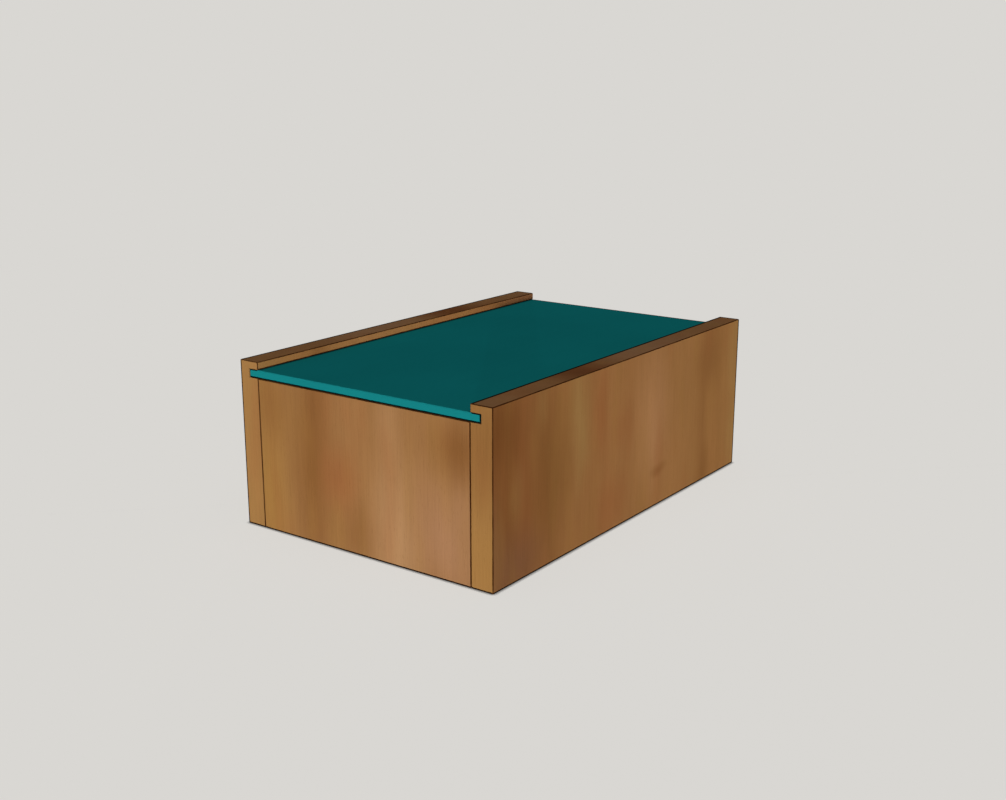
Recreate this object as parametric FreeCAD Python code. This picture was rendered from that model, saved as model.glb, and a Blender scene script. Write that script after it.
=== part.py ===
import FreeCAD, Part
import os

# A wooden box for papers and keepsakes, with a painted lid that slides in grooves.
# Two side boards run the full length. The front and back boards stand between them and stop
# under the lid, so the grooves and the lid run out at both ends. The bottom is a thin panel held
# in grooves on all four boards. Blind dowels hold the corners, so no fixing shows outside.
# Lengths are in millimetres, and stock sizes are fractions of an inch. The origin is the middle
# of the footprint: X runs across the box, Y from the front to the back, and Z up.

INCH = 25.4

# Outside of the box
box_length = 14.5 * INCH
box_width = 9.5 * INCH
side_height = 5.25 * INCH
side_thickness = 0.75 * INCH
end_thickness = 0.75 * INCH
arris_bevel = 0.6

# Lid and its grooves
lid_thickness = 0.25 * INCH
lid_sink = 0.25 * INCH
lid_groove_depth = 0.375 * INCH
lid_face_clearance = 0.2
lid_edge_clearance = 0.4

# Bottom panel and its grooves
bottom_thickness = 0.25 * INCH
bottom_inset = 0.25 * INCH
bottom_groove_depth = 0.25 * INCH
bottom_face_clearance = 0.15
bottom_edge_clearance = 0.5

# Dowels in the corner joints
dowel_diameter = 0.375 * INCH
dowel_length = 1.5 * INCH
dowel_depth_in_side = 0.5 * INCH
dowel_margin = 0.5 * INCH
dowel_radial_clearance = 0.05
dowel_end_clearance = 0.8
dowel_chamfer = 1.0
dowel_flutes = 8
flute_depth = 0.45
flute_width = 1.1
dowels_per_corner = 3

# Heights and planes that several pieces share
lid_top = side_height - lid_sink
lid_underside = lid_top - lid_thickness
lid_groove_top = lid_top + lid_face_clearance
lid_groove_floor = lid_underside - lid_face_clearance
end_height = lid_groove_floor
bottom_groove_height = bottom_thickness + bottom_face_clearance
bottom_groove_top = bottom_inset + bottom_groove_height
inside_half_width = box_width / 2 - side_thickness
inside_half_length = box_length / 2 - end_thickness
end_middle = box_length / 2 - end_thickness / 2

# Two positions closer than this are the same
TOUCH = 1e-6


def block(x, y, z):
    """A square-edged block from its (low, high) limits along each axis."""
    corner = FreeCAD.Vector(x[0], y[0], z[0])
    return Part.makeBox(x[1] - x[0], y[1] - y[0], z[1] - z[0], corner)


def cylinder_along_x(radius, x, y, z):
    """A cylinder from x[0] to x[1], with its axis at (y, z)."""
    start = FreeCAD.Vector(x[0], y, z)
    return Part.makeCylinder(radius, x[1] - x[0], start, FreeCAD.Vector(1, 0, 0))


def outer_arrises(board):
    """The edges of a board that lie on two of its outer planes at once."""
    bounds = board.BoundBox
    limits = (
        (bounds.XMin, bounds.XMax),
        (bounds.YMin, bounds.YMax),
        (bounds.ZMin, bounds.ZMax),
    )
    found = []
    for edge in board.Edges:
        ends = (edge.Vertexes[0].Point, edge.Vertexes[-1].Point)
        planes = 0
        for axis in range(3):
            for limit in limits[axis]:
                if all(abs(end[axis] - limit) < TOUCH for end in ends):
                    planes += 1
        if planes == 2 and len(edge.Vertexes) == 2:
            found.append(edge)
    return found


def eased(board, extra_edges=()):
    """The board with its outer arrises, and any extra edges, taken off as by a block plane."""
    return board.makeChamfer(arris_bevel, outer_arrises(board) + list(extra_edges))


def edges_along_y(board, x, heights):
    """The edges that run along Y at x and at one of the heights."""
    found = []
    for edge in board.Edges:
        ends = [vertex.Point for vertex in edge.Vertexes]
        if len(ends) != 2 or abs(ends[0].y - ends[1].y) < TOUCH:
            continue
        at_x = all(abs(end.x - x) < TOUCH for end in ends)
        at_height = any(all(abs(end.z - z) < TOUCH for end in ends) for z in heights)
        if at_x and at_height:
            found.append(edge)
    return found


def dowel_heights():
    """The heights of the dowels in one corner, spread evenly between the two grooves."""
    radius = dowel_diameter / 2
    lowest = bottom_groove_top + dowel_margin + radius
    highest = end_height - dowel_margin - radius
    step = (highest - lowest) / (dowels_per_corner - 1)
    return [lowest + step * i for i in range(dowels_per_corner)]


def dowel_holes(side, end):
    """The drilled spaces for one corner's dowels. Side is -1 for left, end is -1 for front."""
    radius = dowel_diameter / 2 + dowel_radial_clearance
    in_side = dowel_depth_in_side + dowel_end_clearance
    in_end = dowel_length - dowel_depth_in_side + dowel_end_clearance
    reach = sorted((side * (inside_half_width + in_side), side * (inside_half_width - in_end)))
    return [cylinder_along_x(radius, reach, end * end_middle, z) for z in dowel_heights()]


def stopped_groove():
    """The space for the bottom panel in the right side, routed with round ends behind the joints."""
    cutter_radius = bottom_groove_height / 2
    depth = (inside_half_width, inside_half_width + bottom_groove_depth)
    reach = inside_half_length + bottom_groove_depth
    middle = bottom_inset + cutter_radius
    straight = block(depth, (-reach, reach), (bottom_inset, bottom_groove_top))
    ends = [cylinder_along_x(cutter_radius, depth, y, middle) for y in (-reach, reach)]
    return straight.fuse(ends)


def right_side():
    """A full-length side board with the lid groove, the stopped bottom groove and the dowel holes."""
    length = (-box_length / 2, box_length / 2)
    board = block((inside_half_width, box_width / 2), length, (0, side_height))
    lid_groove = block(
        (inside_half_width, inside_half_width + lid_groove_depth),
        length,
        (lid_groove_floor, lid_groove_top),
    )
    board = board.cut(lid_groove)
    mouth = edges_along_y(board, inside_half_width, (lid_groove_floor, lid_groove_top))
    board = eased(board, mouth)
    holes = dowel_holes(1, -1) + dowel_holes(1, 1)
    return board.cut([stopped_groove()] + holes)


def front_board():
    """The board between the sides at the front, with a through groove for the bottom panel."""
    width = (-inside_half_width, inside_half_width)
    board = eased(block(width, (-box_length / 2, -inside_half_length), (0, end_height)))
    groove = block(
        width,
        (-inside_half_length - bottom_groove_depth, -inside_half_length),
        (bottom_inset, bottom_groove_top),
    )
    return board.cut([groove] + dowel_holes(-1, -1) + dowel_holes(1, -1))


def bottom_panel():
    """A thin panel that rests on the lower wall of the grooves, with room to move at its edges."""
    reach = bottom_groove_depth - bottom_edge_clearance
    half_width = inside_half_width + reach
    half_length = inside_half_length + reach
    height = (bottom_inset, bottom_inset + bottom_thickness)
    return block((-half_width, half_width), (-half_length, half_length), height)


def sliding_lid():
    """A plain panel as long as the sides, with its long edges in the grooves."""
    half_width = inside_half_width + lid_groove_depth - lid_edge_clearance
    half_length = box_length / 2
    height = (lid_underside, lid_top)
    return eased(block((-half_width, half_width), (-half_length, half_length), height))


def flute():
    """The wedge that cuts one V flute along the top of a dowel.

    It stands as far above the dowel's surface as it cuts below it, so it is twice as wide at its
    own top as the flute is at the surface.
    """
    root = dowel_diameter / 2 - flute_depth
    top = root + 2 * flute_depth
    start = -dowel_length / 2
    corners = [
        FreeCAD.Vector(start, 0, root),
        FreeCAD.Vector(start, -flute_width, top),
        FreeCAD.Vector(start, flute_width, top),
    ]
    outline = Part.makePolygon(corners + corners[:1])
    return Part.Face(outline).extrude(FreeCAD.Vector(dowel_length, 0, 0))


def dowel():
    """A fluted dowel pin along X with chamfered ends, centred on the origin."""
    radius = dowel_diameter / 2
    half = dowel_length / 2
    profile = [
        FreeCAD.Vector(-half, 0, 0),
        FreeCAD.Vector(-half, 0, radius - dowel_chamfer),
        FreeCAD.Vector(-half + dowel_chamfer, 0, radius),
        FreeCAD.Vector(half - dowel_chamfer, 0, radius),
        FreeCAD.Vector(half, 0, radius - dowel_chamfer),
        FreeCAD.Vector(half, 0, 0),
    ]
    face = Part.Face(Part.makePolygon(profile + profile[:1]))
    axis = FreeCAD.Vector(1, 0, 0)
    pin = face.revolve(FreeCAD.Vector(0, 0, 0), axis, 360)
    wedges = []
    for i in range(dowel_flutes):
        wedge = flute()
        wedge.rotate(FreeCAD.Vector(0, 0, 0), axis, 360 * i / dowel_flutes)
        wedges.append(wedge)
    return pin.cut(wedges)


def corner_dowels(side, end):
    """The dowels of one corner as a group of separate solids, from the lowest up."""
    shift = inside_half_width + dowel_depth_in_side - dowel_length / 2
    pins = []
    for z in dowel_heights():
        pin = dowel()
        pin.translate(FreeCAD.Vector(side * shift, end * end_middle, z))
        pins.append(pin)
    return Part.makeCompound(pins)


def mirrored_across(shape, normal):
    """The shape reflected in the plane through the origin with that normal."""
    return shape.mirror(FreeCAD.Vector(0, 0, 0), normal)


def pieces():
    """Every piece of the box by name."""
    right = right_side()
    front = front_board()
    found = {
        "right_side": right,
        "left_side": mirrored_across(right, FreeCAD.Vector(1, 0, 0)),
        "front_board": front,
        "back_board": mirrored_across(front, FreeCAD.Vector(0, 1, 0)),
        "bottom_panel": bottom_panel(),
        "sliding_lid": sliding_lid(),
    }
    for end_name, end in (("front", -1), ("back", 1)):
        for side_name, side in (("left", -1), ("right", 1)):
            found[f"{end_name}_{side_name}_dowels"] = corner_dowels(side, end)
    return found


os.makedirs("parts", exist_ok=True)
for name, shape in pieces().items():
    state = "valid" if shape.isValid() else "NOT VALID"
    print(name, state, len(shape.Solids), "solids", round(shape.Volume, 1), "mm3")
    shape.exportStep(f"parts/{name}.step")
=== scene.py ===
import math
from collections import namedtuple

import bpy
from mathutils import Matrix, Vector


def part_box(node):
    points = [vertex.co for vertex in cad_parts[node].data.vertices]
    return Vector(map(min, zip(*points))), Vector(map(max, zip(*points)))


# The looks of the sliding lid wooden box: brown boards with a soft upright figure and dark arrises,
# a matte teal lid, a pale floor, and the light of two level lamps and a soft one overhead.
# Lengths are in metres and angles in degrees. Every surface is painted by nodes in the object's own
# coordinates, so the marks on the lid move with it when it slides.

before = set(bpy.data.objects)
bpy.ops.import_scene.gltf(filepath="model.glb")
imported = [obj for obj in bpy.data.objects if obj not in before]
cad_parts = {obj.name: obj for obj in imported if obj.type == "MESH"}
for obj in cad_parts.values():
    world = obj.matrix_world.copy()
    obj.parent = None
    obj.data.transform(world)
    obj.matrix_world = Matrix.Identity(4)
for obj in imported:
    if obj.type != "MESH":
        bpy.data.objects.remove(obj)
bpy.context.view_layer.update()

# The axes by number
X = 0
Y = 1
Z = 2

# Camera: the photograph's size in pixels, the angle that its height spans, where the camera stands
# and looks from, and how far it sees. Its place was solved from the box's edges and then moved about
# 5 mm nearer, because half of the outline that the photograph draws lies outside the box.
PHOTO_WIDTH = 1006
PHOTO_HEIGHT = 800
VIEW_HEIGHT_ANGLE = 35.0
CAMERA_AZIMUTH = 35.98
CAMERA_ELEVATION = 14.96
CAMERA_PLACE = Vector((0.6006, -0.8337, 0.3544))
CAMERA_SIGHT = 240.0

# Lamps and the even light from all round. A white surface that squarely faces a lamp of level 1
# renders as white. Softness is the angle that a lamp fills in the sky.
Lamp = namedtuple("Lamp", "level azimuth elevation softness")

LAMPS = {
    "key": Lamp(1.01, 33.5, 0.75, 1.5),
    "fill": Lamp(0.7, 216.0, 0.75, 1.5),
    "top": Lamp(0.195, 36.0, 80.0, 60.0),
}
AMBIENT_LEVEL = 0.13

# Floor and background. The floor takes all its light up to the first fade distance from the box's
# middle and none past the second. The contact shadow is the thin dark line round what stands on it.
BACKGROUND = (217, 215, 211)
FLOOR_ALBEDO = 0.14
FLOOR_HALF_SIZE = 60.0
FLOOR_FADE_START = 0.5
FLOOR_FADE_END = 1.5
CONTACT_SHADOW = 0.003
CONTACT_SAMPLES = 4
CONTACT_POWER = 2.0

# Finishes, as they look on a screen
END_WOOD = (158, 113, 69)
SIDE_WOOD = (163, 113, 66)
WOOD_DARK = (133, 87, 46)
WOOD_DEEP = (112, 66, 30)
WOOD_RUSSET = (139, 88, 48)
WOOD_LIGHT = (183, 139, 96)
WOOD_TAN = (188, 136, 91)
WOOD_RED = (158, 96, 56)
WOOD_PINK = (171, 125, 89)
WOOD_PLUM = (136, 92, 62)
WOOD_GOLD = (164, 120, 63)
WOOD_OLIVE = (172, 132, 78)
WOOD_ARRIS = (56, 27, 9)
WOOD_LINE = (22, 14, 8)
LEFT_EDGE_WOOD = (166, 122, 71)
RIGHT_EDGE_WOOD = (163, 119, 67)
END_GRAIN = (154, 110, 71)
END_PALE = (164, 123, 90)
END_DARK = (126, 78, 46)
LID_PAINT = (22, 130, 132)
LID_ARRIS = (4, 26, 25)
LID_RUBBED = (34, 122, 118)
PLY_FACE = (196, 162, 118)
PLY_STREAK = (172, 134, 90)
DOWEL_WOOD = (206, 176, 134)
DOWEL_STREAK = (186, 150, 106)

# A Mix node's sockets for colours, by number because it has other sockets of the same names
MIX_SHARE = 0
MIX_UNDER = 6
MIX_OVER = 7
MIX_RESULT = 2

# Noise runs from 0 to 1. Most of it lies in the wide span, and the narrow one gives firmer edges.
NOISE_MIDDLE = 0.5
WIDE_SPAN = (0.3, 0.7)
NARROW_SPAN = (0.35, 0.65)

# A layer of noise: its features per metre along each axis, its detail, and what it multiplies a
# colour by at its darkest and at its lightest
Layer = namedtuple("Layer", "stretch detail tone", defaults=[(1.0, 1.0)])

WANDER = Layer((30, 30, 16), 2.0)
WOOD_CLOUD = Layer((30, 30, 7), 2.0, (0.96, 1.04))
WOOD_HUES = Layer((42, 42, 9), 1.0)
GROWTH_LINES = Layer((150, 150, 5), 3.0, (0.984, 1.016))
FIBRES = Layer((1300, 1300, 30), 2.0, (0.965, 1.035))
PORES = Layer((2600, 2600, 160), 1.0)
WEAR = Layer((60, 60, 60), 2.0)
PAINT_CLOUD = Layer((9, 9, 9), 2.0, (0.97, 1.03))
BRUSH_MARKS = Layer((900, 12, 900), 2.0, (0.985, 1.015))
STIPPLE = Layer((900, 900, 900), 2.0)
PLY_STREAKS = Layer((60, 5, 60), 3.0)
PLY_GRAIN = Layer((840, 70, 840), 2.0, (0.93, 1.05))
DOWEL_STREAKS = Layer((12, 120, 120), 3.0)
DOWEL_GRAIN = Layer((168, 1680, 1680), 2.0, (0.93, 1.05))

# How far the soft marks of the figure wander from their ellipses
WANDER_SIZE = 0.016

# The most red or gold that the wood's hues take on, and how far from the noise's middle that is
HUE_SHARE = 0.25
HUE_REACH = 0.25

# The part of the noise over which a pore opens, and how dark it gets
PORE_SPAN = (0.66, 0.76)
PORE_SHARE = 0.3

# How much of the dark of an arris is left where it is worn most
WORN_ARRIS = 0.88

# The part of the brush marks' noise over which the paint in the grooves goes from less to more
# rubbed, how much of the rubbed colour shows at its two ends, and how far in from a groove's mouth
# the rubbing takes to set in
RUBBED_SPAN = (0.42, 0.6)
RUBBED_SHARES = (0.15, 0.75)
RUBBED_FADE = 0.002

# The roughness of each finish where its finest noise is low and high, and its relief's depth
WOOD_ROUGHNESS = (0.62, 0.76)
PAINT_ROUGHNESS = (0.72, 0.82)
BARE_ROUGHNESS = (0.62, 0.74)
WOOD_RELIEF = 0.00006
PAINT_RELIEF = 0.00004

# How far the dark of a bevel runs onto the faces beside it, from where they would meet, and how far
# every line and arris takes to fade
ARRIS_LINE = 0.0005
LINE_FADE = 0.0003

# How squarely a face has to face along an axis to count as square to it, as the cosine
SQUARE = 0.9

# A heavy line along an arris, like the outline that the photograph draws. Its corner says which
# limits of its piece meet there, -1 for the low one and 1 for the high one, with 0 for the axis that
# it runs along. It lies on the one face beside it that is square to the axis named by face, as far
# from the arris as its reach.
Line = namedtuple("Line", "corner face reach")

FOOT_LINE = 0.0011
LEFT_LINE = 0.0014
BACK_LINE = 0.0018
TOP_LINE = 0.0024
LID_LINE = 0.0009

HEAVY_LINES = {
    "front_board": [Line((0, -1, -1), Y, FOOT_LINE)],
    "back_board": [Line((0, 1, -1), Y, FOOT_LINE)],
    "left_side": [
        Line((-1, 0, -1), X, FOOT_LINE),
        Line((0, -1, -1), Y, FOOT_LINE),
        Line((0, 1, -1), Y, FOOT_LINE),
        Line((-1, -1, 0), Y, LEFT_LINE),
        Line((-1, 0, 1), Z, TOP_LINE),
        Line((0, 1, 1), Z, TOP_LINE),
    ],
    "right_side": [
        Line((1, 0, -1), X, FOOT_LINE),
        Line((0, -1, -1), Y, FOOT_LINE),
        Line((0, 1, -1), Y, FOOT_LINE),
        Line((1, 1, 0), X, BACK_LINE),
        Line((-1, 0, 1), Z, TOP_LINE),
        Line((0, 1, 1), Z, TOP_LINE),
    ],
    "sliding_lid": [
        Line((0, -1, -1), Y, LID_LINE),
        Line((-1, -1, 0), Y, LID_LINE),
        Line((1, -1, 0), Y, LID_LINE),
        Line((0, 1, -1), Y, LID_LINE),
        Line((-1, 1, 0), Y, LID_LINE),
        Line((1, 1, 0), Y, LID_LINE),
        Line((0, 1, 1), Z, TOP_LINE),
    ],
}

# The lid's upper front arris, which the photograph leaves plain, and how far its paint stays whole
PLAIN_ARRIS = (0, -1, 1)
PLAIN_REACH = 0.002

# The lines of painted shade where the lid enters the sides: on the lid, round its ends, and along
# the upper edges of the grooves, whose mouths stand as far apart as the ends of the front board
LID_SHADE_WIDTH = 0.0022
LID_SHADE_SHARE = 0.5
END_SHADE_WIDTH = 0.0003
MOUTH_LINE = 0.0010
GROOVE_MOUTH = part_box("front_board")[1].x

# One soft mark in a board's figure: its middle and half sizes across and up the board's face, the
# colour that it turns to, and how far
Mark = namedtuple("Mark", "across up half_width half_height colour share")

END_FIGURE = [
    Mark(-0.095, 0.030, 0.040, 0.140, WOOD_GOLD, 0.9),
    Mark(-0.046, 0.065, 0.032, 0.150, WOOD_DARK, 0.85),
    Mark(-0.046, 0.116, 0.024, 0.045, WOOD_DARK, 0.3),
    Mark(-0.090, 0.104, 0.034, 0.050, WOOD_DARK, 0.55),
    Mark(-0.020, 0.056, 0.026, 0.040, WOOD_RED, 0.55),
    Mark(-0.002, 0.018, 0.034, 0.036, WOOD_DARK, 0.45),
    Mark(0.035, 0.016, 0.040, 0.105, WOOD_LIGHT, 0.85),
    Mark(0.030, 0.110, 0.022, 0.045, WOOD_LIGHT, 0.35),
    Mark(0.084, 0.032, 0.052, 0.074, WOOD_PINK, 0.9),
    Mark(0.090, 0.098, 0.033, 0.040, WOOD_DARK, 0.85),
]

SIDE_FIGURE = [
    Mark(0.090, 0.070, 0.150, 0.250, WOOD_GOLD, 0.3),
    Mark(0.050, 0.070, 0.140, 0.250, WOOD_TAN, 0.25),
    Mark(-0.172, 0.070, 0.085, 0.200, WOOD_RUSSET, 1.0),
    Mark(-0.116, 0.070, 0.036, 0.110, WOOD_DARK, 0.75),
    Mark(-0.176, 0.116, 0.044, 0.046, WOOD_DEEP, 0.5),
    Mark(-0.160, 0.010, 0.060, 0.045, WOOD_PLUM, 0.8),
    Mark(-0.125, 0.122, 0.014, 0.028, WOOD_OLIVE, 0.25),
    Mark(-0.156, 0.062, 0.012, 0.036, WOOD_OLIVE, 0.25),
    Mark(-0.076, 0.105, 0.020, 0.090, WOOD_OLIVE, 0.8),
    Mark(-0.047, 0.096, 0.016, 0.055, WOOD_RED, 0.45),
    Mark(-0.012, 0.082, 0.028, 0.034, WOOD_RED, 0.3),
    Mark(-0.030, 0.020, 0.036, 0.040, WOOD_RED, 0.4),
    Mark(0.032, 0.078, 0.040, 0.085, WOOD_TAN, 0.7),
    Mark(0.036, 0.058, 0.020, 0.028, WOOD_TAN, 0.3),
    Mark(0.044, 0.029, 0.020, 0.008, WOOD_DARK, 0.5),
    Mark(0.118, 0.060, 0.018, 0.110, WOOD_DARK, 0.3),
    Mark(0.130, 0.110, 0.044, 0.052, WOOD_DARK, 0.4),
    Mark(0.188, 0.070, 0.042, 0.160, WOOD_OLIVE, 0.9),
    Mark(-0.184, 0.026, 0.024, 0.060, WOOD_PLUM, 0.7),
    Mark(0.122, 0.006, 0.020, 0.038, WOOD_DARK, 0.45),
]

# The end grain on the top of a board
TOP_FIGURE = [
    Mark(0.030, 0.0, 0.090, 1.0, END_PALE, 0.7),
    Mark(-0.062, 0.0, 0.058, 1.0, END_DARK, 1.0),
    Mark(-0.180, 0.0, 0.040, 1.0, END_PALE, 0.3),
]

# The long grain on the ends of the right side
EDGE_FIGURE = [
    Mark(0.111, 0.104, 0.060, 0.074, WOOD_DARK, 0.55),
]

# A board's wood and figure on its broad faces and on its ends, the axis that runs across its broad
# faces, whether its figure is turned end for end, and where on the plank its finer grain comes from
Board = namedtuple("Board", "wood figure edge_wood edge_figure axis turned shift")

BOARDS = {
    "front_board": Board(
        END_WOOD, END_FIGURE, RIGHT_EDGE_WOOD, [], X, False, (0.31, 0.12, 0.05)
    ),
    "back_board": Board(
        END_WOOD, END_FIGURE, RIGHT_EDGE_WOOD, [], X, True, (1.72, 0.83, 0.41)
    ),
    "left_side": Board(
        SIDE_WOOD, SIDE_FIGURE, LEFT_EDGE_WOOD, [], Y, True, (2.64, 1.37, 0.93)
    ),
    "right_side": Board(
        SIDE_WOOD, SIDE_FIGURE, RIGHT_EDGE_WOOD, EDGE_FIGURE, Y, False, (3.18, 2.45, 1.26)
    ),
}


def linear(colour):
    """A screen colour from 0 to 255 as the linear RGBA that nodes use, by the sRGB curve."""
    parts = []
    for value in colour:
        share = value / 255
        parts.append(share / 12.92 if share <= 0.04045 else ((share + 0.055) / 1.055) ** 2.4)
    return (*parts, 1.0)


def grey(value):
    """A linear grey as RGBA."""
    return (value, value, value, 1.0)


def away(azimuth, elevation):
    """The direction from the object out to a camera or lamp at that azimuth and elevation."""
    turn = math.radians(azimuth)
    lift = math.radians(elevation)
    level = math.cos(lift)
    return Vector((math.sin(turn) * level, -math.cos(turn) * level, math.sin(lift)))


def aimed(direction):
    """The rotation of a camera or lamp that looks along direction."""
    return direction.to_track_quat("-Z", "Y").to_euler()


class Paint:
    """A node tree under construction, with short calls for the nodes that the finishes use."""

    def __init__(self, tree):
        self.tree = tree
        tree.nodes.clear()

    def node(self, kind, inputs=None, **settings):
        made = self.tree.nodes.new(kind)
        for name, value in settings.items():
            setattr(made, name, value)
        for socket, value in (inputs or {}).items():
            if isinstance(value, bpy.types.NodeSocket):
                self.tree.links.new(value, made.inputs[socket])
            else:
                made.inputs[socket].default_value = value
        return made

    def math(self, operation, first, second=0.0):
        made = self.node("ShaderNodeMath", {0: first, 1: second}, operation=operation)
        return made.outputs["Value"]

    def vector_math(self, operation, first, second=(0.0, 0.0, 0.0)):
        made = self.node("ShaderNodeVectorMath", {0: first, 1: second}, operation=operation)
        return made.outputs["Vector"]

    def length(self, vector):
        return self.node("ShaderNodeVectorMath", {0: vector}, operation="LENGTH").outputs["Value"]

    def split(self, vector):
        """The vector's three parts."""
        return self.node("ShaderNodeSeparateXYZ", {"Vector": vector}).outputs

    def here(self):
        """The object's own coordinates."""
        return self.node("ShaderNodeTexCoord").outputs["Object"]

    def mapped(self, vector, scale, location=(0.0, 0.0, 0.0)):
        """The vector scaled, then moved."""
        inputs = {"Vector": vector, "Scale": scale, "Location": location}
        return self.node("ShaderNodeMapping", inputs).outputs["Vector"]

    def noise_node(self, place, layer):
        inputs = {"Vector": self.mapped(place, layer.stretch), "Scale": 1.0, "Detail": layer.detail}
        return self.node("ShaderNodeTexNoise", inputs)

    def noise(self, place, layer):
        """The layer's noise at a place, from 0 to 1."""
        return self.noise_node(place, layer).outputs["Fac"]

    def drift(self, place):
        """The place moved by soft noise of up to about half the wander size along each axis."""
        wander = self.noise_node(place, WANDER).outputs["Color"]
        centred = self.vector_math("SUBTRACT", wander, (NOISE_MIDDLE, NOISE_MIDDLE, NOISE_MIDDLE))
        size = (WANDER_SIZE, WANDER_SIZE, WANDER_SIZE)
        return self.vector_math("ADD", place, self.mapped(centred, size))

    def spread(self, value, low, high, to_low=0.0, to_high=1.0):
        """The value mapped from low..high to to_low..to_high and held inside them."""
        inputs = {
            "Value": value,
            "From Min": low,
            "From Max": high,
            "To Min": to_low,
            "To Max": to_high,
        }
        made = self.node("ShaderNodeMapRange", inputs, interpolation_type="SMOOTHSTEP")
        return made.outputs["Result"]

    def within(self, distance, reach, fade=LINE_FADE):
        """1 up to that reach, fading to 0 beyond it."""
        return self.spread(distance, reach, reach + fade, 1.0, 0.0)

    def blend(self, share, under, over, how="MIX"):
        """One colour over another, as far as its share."""
        inputs = {MIX_SHARE: share, MIX_UNDER: under, MIX_OVER: over}
        made = self.node("ShaderNodeMix", inputs, data_type="RGBA", blend_type=how)
        return made.outputs[MIX_RESULT]

    def shaded(self, colour, value):
        """The colour multiplied by a number."""
        inputs = {"Red": value, "Green": value, "Blue": value}
        factor = self.node("ShaderNodeCombineColor", inputs).outputs["Color"]
        return self.blend(1.0, colour, factor, "MULTIPLY")

    def toned(self, colour, noise, layer):
        """The colour made darker and lighter by a layer's noise."""
        return self.shaded(colour, self.spread(noise, *WIDE_SPAN, *layer.tone))

    def facing(self, axis):
        """1 on the faces that are square to the axis, and 0 elsewhere."""
        normal = self.node("ShaderNodeNewGeometry").outputs["True Normal"]
        parts = self.split(self.vector_math("ABSOLUTE", normal))
        return self.math("GREATER_THAN", parts[axis], SQUARE)

    def depth_in(self, node):
        """How far inside a node's box each place is, from the nearer limit along X, Y and Z."""
        low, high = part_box(node)
        middle = (low + high) / 2
        half = (high - low) / 2
        offset = self.vector_math("ABSOLUTE", self.mapped(self.here(), (1, 1, 1), -middle))
        return self.split(self.vector_math("SUBTRACT", half, offset))

    def arrises(self, node):
        """1 on a node's arrises, fading to 0 on the faces beside them.

        The middle one of the three depths is how far the nearest arris is.
        """
        x, y, z = self.depth_in(node)
        least = self.math("MINIMUM", x, y)
        most = self.math("MAXIMUM", x, y)
        from_arris = self.math("MAXIMUM", least, self.math("MINIMUM", most, z))
        square = self.math("MAXIMUM", self.facing(Y), self.facing(Z))
        square = self.math("MAXIMUM", self.facing(X), square)
        bevel = self.math("SUBTRACT", 1.0, square)
        return self.math("MAXIMUM", self.within(from_arris, ARRIS_LINE), bevel)

    def near_line(self, point, along, reach):
        """1 within reach of the line through a point along an axis, fading to 0 beyond."""
        scale = [1.0, 1.0, 1.0]
        scale[along] = 0.0
        location = [-point[axis] * scale[axis] for axis in (X, Y, Z)]
        return self.within(self.length(self.mapped(self.here(), scale, location)), reach)

    def near_arris(self, node, corner, reach):
        """1 within reach of the arris where those limits of a node's box meet, fading to 0."""
        low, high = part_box(node)
        point = [(low[axis] if corner[axis] < 0 else high[axis]) for axis in (X, Y, Z)]
        return self.near_line(point, corner.index(0), reach)

    def heavy_lines(self, node, colour, line_colour):
        """The colour with the node's heavy lines on it."""
        for line in HEAVY_LINES[node]:
            near = self.near_arris(node, line.corner, line.reach)
            share = self.math("MULTIPLY", near, self.facing(line.face))
            colour = self.blend(share, colour, linear(line_colour))
        return colour

    def groove_painted_shade(self):
        """Painted shade: 1 on the wood's ends close round the lid, and along its grooves' mouths."""
        across, _, up = self.depth_in("sliding_lid")
        outside = self.math("MULTIPLY", self.math("MINIMUM", across, up), -1.0)
        crease_shade = self.math("MULTIPLY", self.within(outside, END_SHADE_WIDTH), self.facing(Y))
        lid_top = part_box("sliding_lid")[1].z
        for mouth in (-GROOVE_MOUTH, GROOVE_MOUTH):
            beside = self.near_line((mouth, 0.0, lid_top), Y, MOUTH_LINE)
            on_inner_face = self.math("MULTIPLY", beside, self.facing(X))
            crease_shade = self.math("MAXIMUM", crease_shade, on_inner_face)
        return crease_shade

    def mark(self, colour, place, axis, mark):
        """The colour with one soft mark on it, which goes through the board's thickness."""
        scale = [0.0, 0.0, 1 / mark.half_height]
        scale[axis] = 1 / mark.half_width
        location = [0.0, 0.0, -mark.up * scale[Z]]
        location[axis] = -mark.across * scale[axis]
        from_middle = self.length(self.mapped(place, scale, location))
        share = self.spread(from_middle, 0.0, 1.0, mark.share, 0.0)
        return self.blend(share, colour, linear(mark.colour))

    def figured(self, wood, place, axis, figure):
        """The wood's colour with every mark of a figure on it."""
        colour = linear(wood)
        for mark in figure:
            colour = self.mark(colour, place, axis, mark)
        return colour

    def finish(self, colour, roughness, height, relief):
        """Joins the colour, roughness and bump height to the material's one matte shader."""
        bump = self.node("ShaderNodeBump", {"Strength": 1.0, "Distance": relief, "Height": height})
        inputs = {
            "Base Color": colour,
            "Roughness": roughness,
            "Normal": bump.outputs["Normal"],
            "Specular IOR Level": 0.0,
        }
        shader = self.node("ShaderNodeBsdfPrincipled", inputs)
        self.node("ShaderNodeOutputMaterial", {"Surface": shader.outputs["BSDF"]})


def new_material(name):
    """A new material and its painter."""
    material = bpy.data.materials.new(name)
    material.use_nodes = True
    return material, Paint(material.node_tree)


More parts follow.
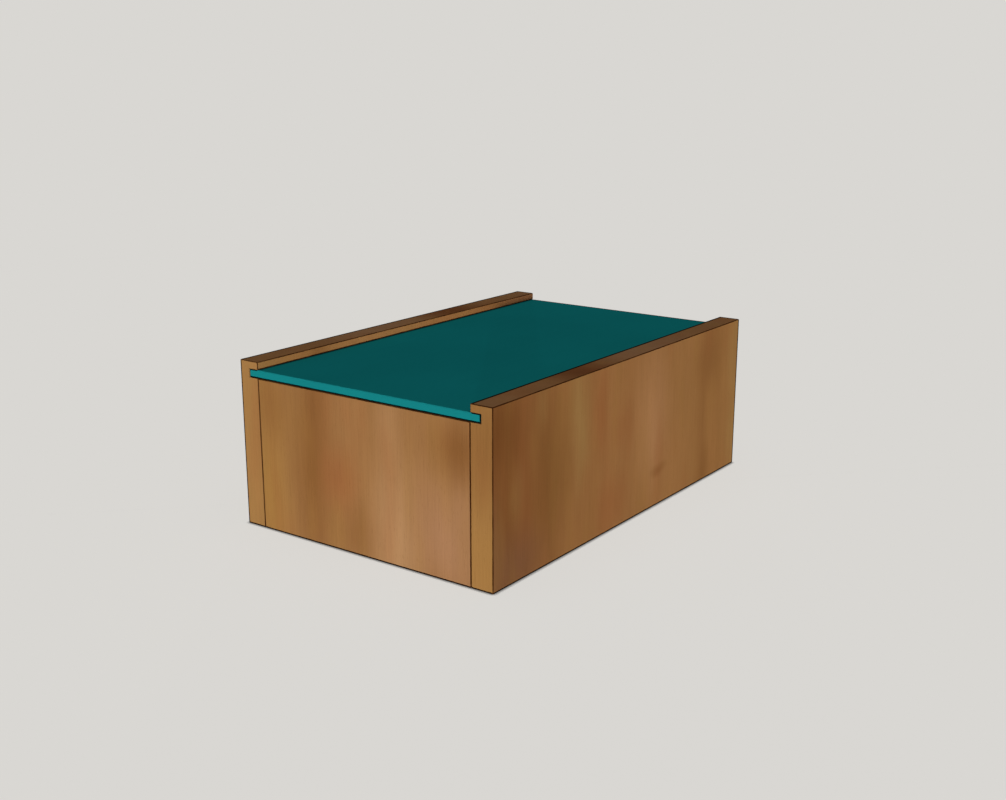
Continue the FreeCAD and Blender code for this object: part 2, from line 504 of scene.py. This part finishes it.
def board_finish(name, board):
    """Brown boards: a soft upright figure, faint growth lines, fine fibres and dark arrises."""
    material, paint = new_material(f"{name}_wood")
    turn = -1 if board.turned else 1
    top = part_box(name)[1].z if board.turned else 0.0
    face = paint.mapped(paint.here(), (turn, turn, turn), (0.0, 0.0, top))
    grain = paint.mapped(paint.here(), (1, 1, 1), board.shift)
    through = X if board.axis == Y else Y

    wandering = paint.drift(face)
    broad_face = paint.figured(board.wood, wandering, board.axis, board.figure)
    end_grain = paint.figured(END_GRAIN, wandering, board.axis, TOP_FIGURE)
    edge = paint.figured(board.edge_wood, wandering, through, board.edge_figure)
    colour = paint.blend(paint.facing(through), edge, broad_face)
    colour = paint.blend(paint.facing(Z), colour, end_grain)

    colour = paint.toned(colour, paint.noise(grain, WOOD_CLOUD), WOOD_CLOUD)
    hue = paint.noise(grain, WOOD_HUES)
    for reach, tint in ((HUE_REACH, WOOD_RED), (-HUE_REACH, WOOD_GOLD)):
        share = paint.spread(hue, NOISE_MIDDLE, NOISE_MIDDLE + reach, 0.0, HUE_SHARE)
        colour = paint.blend(share, colour, linear(tint))

    colour = paint.toned(colour, paint.noise(grain, GROWTH_LINES), GROWTH_LINES)
    fibre = paint.noise(grain, FIBRES)
    colour = paint.toned(colour, fibre, FIBRES)
    pits = paint.spread(paint.noise(grain, PORES), *PORE_SPAN)
    colour = paint.blend(paint.math("MULTIPLY", pits, PORE_SHARE), colour, linear(WOOD_DARK))

    unworn = paint.spread(paint.noise(grain, WEAR), *NARROW_SPAN, WORN_ARRIS, 1.0)
    # The dark arrises and the painted shade round the lid, a little lighter where worn
    dark = paint.math("MAXIMUM", paint.arrises(name), paint.groove_painted_shade())
    colour = paint.blend(paint.math("MULTIPLY", dark, unworn), colour, linear(WOOD_ARRIS))
    colour = paint.heavy_lines(name, colour, WOOD_LINE)

    roughness = paint.spread(fibre, *WIDE_SPAN, *WOOD_ROUGHNESS)
    paint.finish(colour, roughness, paint.math("SUBTRACT", fibre, pits), WOOD_RELIEF)
    return material


def lid_finish():
    """Matte teal paint with faint brush marks, rubbed where the lid runs in its grooves."""
    material, paint = new_material("teal_paint")
    here = paint.here()
    stipple = paint.noise(here, STIPPLE)
    brush = paint.noise(here, BRUSH_MARKS)
    colour = paint.toned(linear(LID_PAINT), paint.noise(here, PAINT_CLOUD), PAINT_CLOUD)
    colour = paint.toned(colour, brush, BRUSH_MARKS)

    across = paint.math("ABSOLUTE", paint.split(here)[X])
    in_groove = paint.spread(across, GROOVE_MOUTH, GROOVE_MOUTH + RUBBED_FADE)
    rubbed = paint.spread(brush, *RUBBED_SPAN, *RUBBED_SHARES)
    rubbed = paint.math("MULTIPLY", rubbed, paint.facing(Z))
    colour = paint.blend(paint.math("MULTIPLY", in_groove, rubbed), colour, linear(LID_RUBBED))

    # A band of painted shade on the lid's top along the groove mouths, where the sides' lips meet it
    from_mouth = paint.math("ABSOLUTE", paint.math("SUBTRACT", across, GROOVE_MOUTH))
    crease_shade = paint.within(from_mouth, LID_SHADE_WIDTH / 2, LID_SHADE_WIDTH / 2)
    crease_shade = paint.math("MULTIPLY", crease_shade, paint.facing(Z))
    crease_shade = paint.math("MULTIPLY", crease_shade, LID_SHADE_SHARE)
    colour = paint.blend(crease_shade, colour, linear(LID_ARRIS))

    plain = paint.near_arris("sliding_lid", PLAIN_ARRIS, PLAIN_REACH)
    plain = paint.math("MULTIPLY", plain, paint.math("SUBTRACT", 1.0, in_groove))
    dark = paint.math("MULTIPLY", paint.arrises("sliding_lid"), paint.math("SUBTRACT", 1.0, plain))
    colour = paint.blend(dark, colour, linear(LID_ARRIS))
    colour = paint.heavy_lines("sliding_lid", colour, LID_ARRIS)

    roughness = paint.spread(stipple, *WIDE_SPAN, *PAINT_ROUGHNESS)
    paint.finish(colour, roughness, stipple, PAINT_RELIEF)
    return material


def bare_wood_finish(name, wood, streak, streaks, grain):
    """Bare pale wood with streaks and fine grain, for the bottom panel and the dowels."""
    material, paint = new_material(name)
    here = paint.here()
    fine = paint.noise(here, grain)
    share = paint.spread(paint.noise(here, streaks), *NARROW_SPAN)
    colour = paint.toned(paint.blend(share, linear(streak), linear(wood)), fine, grain)
    roughness = paint.spread(fine, *WIDE_SPAN, *BARE_ROUGHNESS)
    paint.finish(colour, roughness, fine, WOOD_RELIEF)
    return material


def seen_directly(paint):
    """1 for rays that show the background: from the camera, or by reflection or through glass."""
    light_path = paint.node("ShaderNodeLightPath").outputs
    mirrored = paint.math("MAXIMUM", light_path["Is Glossy Ray"], light_path["Is Transmission Ray"])
    return paint.math("MAXIMUM", light_path["Is Camera Ray"], mirrored)


def floor_light():
    """How bright a white floor renders where nothing shades it."""
    lamps = sum(lamp.level * math.sin(math.radians(lamp.elevation)) for lamp in LAMPS.values())
    return lamps + AMBIENT_LEVEL


def make_floor():
    """A level floor that its own light tops up to the background's colour, shadows kept.

    It takes light only near the object, and further out it is the plain background.
    """
    material, paint = new_material("pale_floor")
    near = paint.spread(paint.length(paint.here()), FLOOR_FADE_START, FLOOR_FADE_END, 1.0, 0.0)
    albedo = paint.shaded(grey(FLOOR_ALBEDO), near)
    light = floor_light()
    taken = paint.vector_math("MULTIPLY", albedo, (light, light, light))
    glow = paint.vector_math("SUBTRACT", linear(BACKGROUND)[:3], taken)
    contact = paint.node(
        "ShaderNodeAmbientOcclusion", {"Distance": CONTACT_SHADOW}, samples=CONTACT_SAMPLES
    )
    open_share = paint.math("POWER", contact.outputs["AO"], CONTACT_POWER)
    inputs = {"Color": glow, "Strength": paint.math("MULTIPLY", seen_directly(paint), open_share)}
    own_light = paint.node("ShaderNodeEmission", inputs).outputs["Emission"]
    matte = paint.node("ShaderNodeBsdfDiffuse", {"Color": albedo}).outputs["BSDF"]
    both = paint.node("ShaderNodeAddShader", {0: own_light, 1: matte}).outputs["Shader"]
    paint.node("ShaderNodeOutputMaterial", {"Surface": both})

    mesh = bpy.data.meshes.new("floor")
    half = FLOOR_HALF_SIZE
    corners = [(-half, -half, 0), (half, -half, 0), (half, half, 0), (-half, half, 0)]
    mesh.from_pydata(corners, [], [(0, 1, 2, 3)])
    mesh.materials.append(material)
    floor = bpy.data.objects.new("floor", mesh)
    bpy.context.scene.collection.objects.link(floor)


def make_world():
    """An even ambient light, which the camera and reflections see as the plain background."""
    world = bpy.data.worlds.new("studio")
    world.use_nodes = True
    bpy.context.scene.world = world
    paint = Paint(world.node_tree)
    colour = paint.blend(seen_directly(paint), grey(AMBIENT_LEVEL), linear(BACKGROUND))
    light = paint.node("ShaderNodeBackground", {"Color": colour}).outputs["Background"]
    paint.node("ShaderNodeOutputWorld", {"Surface": light})


def make_lamp(name, lamp):
    """A distant soft lamp. A diffuse surface that faces it renders at its colour times the level."""
    light = bpy.data.lights.new(name, "SUN")
    light.energy = lamp.level * math.pi
    light.angle = math.radians(lamp.softness)
    placed = bpy.data.objects.new(name, light)
    placed.rotation_euler = aimed(-away(lamp.azimuth, lamp.elevation))
    bpy.context.scene.collection.objects.link(placed)


def make_camera():
    """The photograph's view: its place, direction and angle, with the lens that they need."""
    camera = bpy.data.cameras.new("camera")
    reach = PHOTO_HEIGHT / 2 / math.tan(math.radians(VIEW_HEIGHT_ANGLE / 2))
    camera.lens = camera.sensor_width * reach / PHOTO_WIDTH
    camera.clip_end = CAMERA_SIGHT
    placed = bpy.data.objects.new("camera", camera)
    placed.location = CAMERA_PLACE
    placed.rotation_euler = aimed(-away(CAMERA_AZIMUTH, CAMERA_ELEVATION))
    bpy.context.scene.collection.objects.link(placed)
    bpy.context.scene.camera = placed


def dress(node, material):
    """Gives a CAD node its finish."""
    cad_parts[node].material_slots[0].material = material


make_camera()
make_world()
make_floor()
for name, lamp in LAMPS.items():
    make_lamp(name, lamp)

for name, board in BOARDS.items():
    dress(name, board_finish(name, board))
dress("sliding_lid", lid_finish())
plywood = bare_wood_finish("bottom_plywood", PLY_FACE, PLY_STREAK, PLY_STREAKS, PLY_GRAIN)
dress("bottom_panel", plywood)
pegs = bare_wood_finish("dowel_wood", DOWEL_WOOD, DOWEL_STREAK, DOWEL_STREAKS, DOWEL_GRAIN)
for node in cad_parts:
    if node.endswith("_dowels"):
        dress(node, pegs)

bpy.context.scene.view_settings.view_transform = "Standard"
